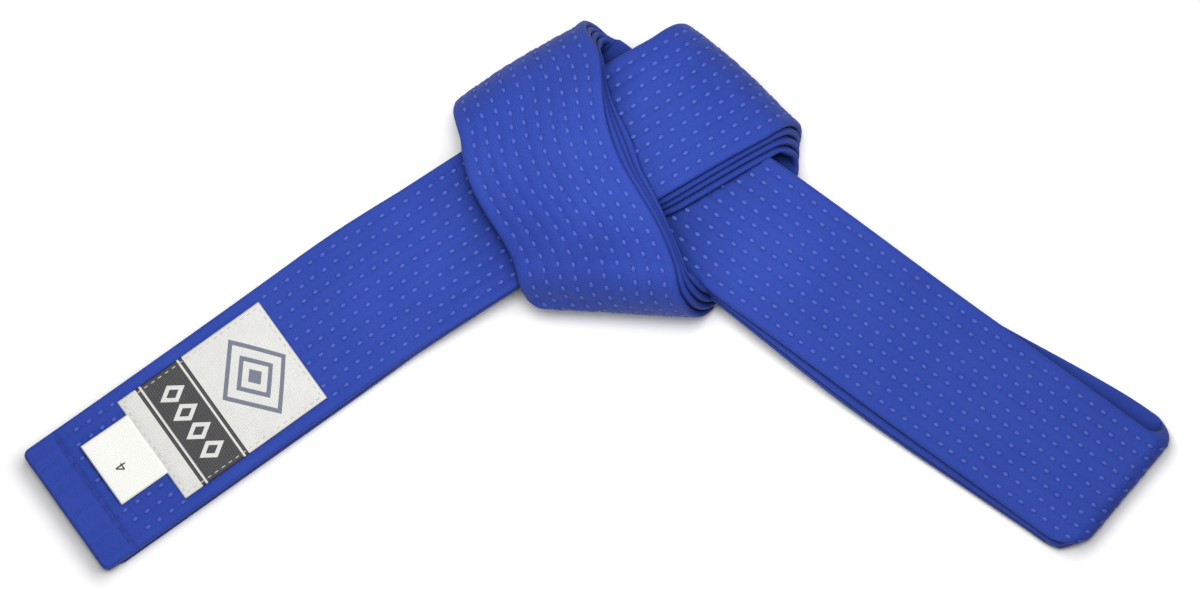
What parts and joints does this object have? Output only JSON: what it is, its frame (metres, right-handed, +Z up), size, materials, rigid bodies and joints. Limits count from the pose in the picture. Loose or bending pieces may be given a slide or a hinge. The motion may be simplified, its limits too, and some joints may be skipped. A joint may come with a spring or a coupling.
{
  "type": "martial arts belt",
  "caption": "Quilted cloth belt folded into a flat band and tied in one flattened overhand knot, with a woven label and a size tag near one end.",
  "frame": {"origin": "centre of the bounding box, on the surface that the belt lies on", "axes": "+Z up from the surface, +X along the longest extent towards the right tail, +Y away from the viewer"},
  "size_m": [0.351, 0.1722, 0.0405],
  "materials": {
    "belt_cloth": "quilted cotton, matt, royal blue",
    "core_cloth": "plain undyed cotton interlining",
    "sewing_thread": "blue polyester thread",
    "label_cloth": "woven off-white satin label with a plain dark band",
    "label_thread": "white polyester thread",
    "size_tag_cloth": "thin off-white satin tape"
  },
  "bodies": {
    "knot": {"knot_core_1": "core_cloth", "knot_core_2": "core_cloth", "knot_core_3": "core_cloth", "knot_core_4": "core_cloth", "knot_cover_1": "belt_cloth", "knot_cover_2": "belt_cloth", "knot_cover_3": "belt_cloth", "knot_cover_4": "belt_cloth"},
    "left_tail": {"label_thread": "label_thread", "labelled_end_core": "core_cloth", "labelled_end_cover": "belt_cloth", "labelled_end_hem_thread": "sewing_thread", "middle_fold_core": "core_cloth", "middle_fold_cover": "belt_cloth", "plain_end_core": "core_cloth", "plain_end_cover": "belt_cloth", "plain_end_hem_thread": "sewing_thread", "size_tag_margin": "size_tag_cloth", "woven_label": "label_cloth"},
    "right_tail": {"inner_loop_core": "core_cloth", "inner_loop_cover": "belt_cloth", "outer_loop_core": "core_cloth", "outer_loop_cover": "belt_cloth"},
    "size_tag_flap": {"size_tag": "size_tag_cloth"}
  },
  "joints": [
    {"name": "left_tail_lift", "type": "hinge", "parent": "knot", "child": "left_tail", "pos_m": [-0.03686, 0.0205, 0.0303], "axis": [-0.5105, 0.8599, 0], "range_deg": [0, 75]},
    {"name": "right_tail_lift", "type": "hinge", "parent": "knot", "child": "right_tail", "pos_m": [0.05498, 0.01588, 0.0201], "axis": [-0.592, -0.8059, 0], "range_deg": [0, 75]},
    {"name": "size_tag_flip", "type": "hinge", "parent": "left_tail", "child": "size_tag_flap", "pos_m": [-0.13615, -0.04904, 0.01005], "axis": [-0.5821, 0.8131, 0], "range_deg": [0, 120]}
  ]
}
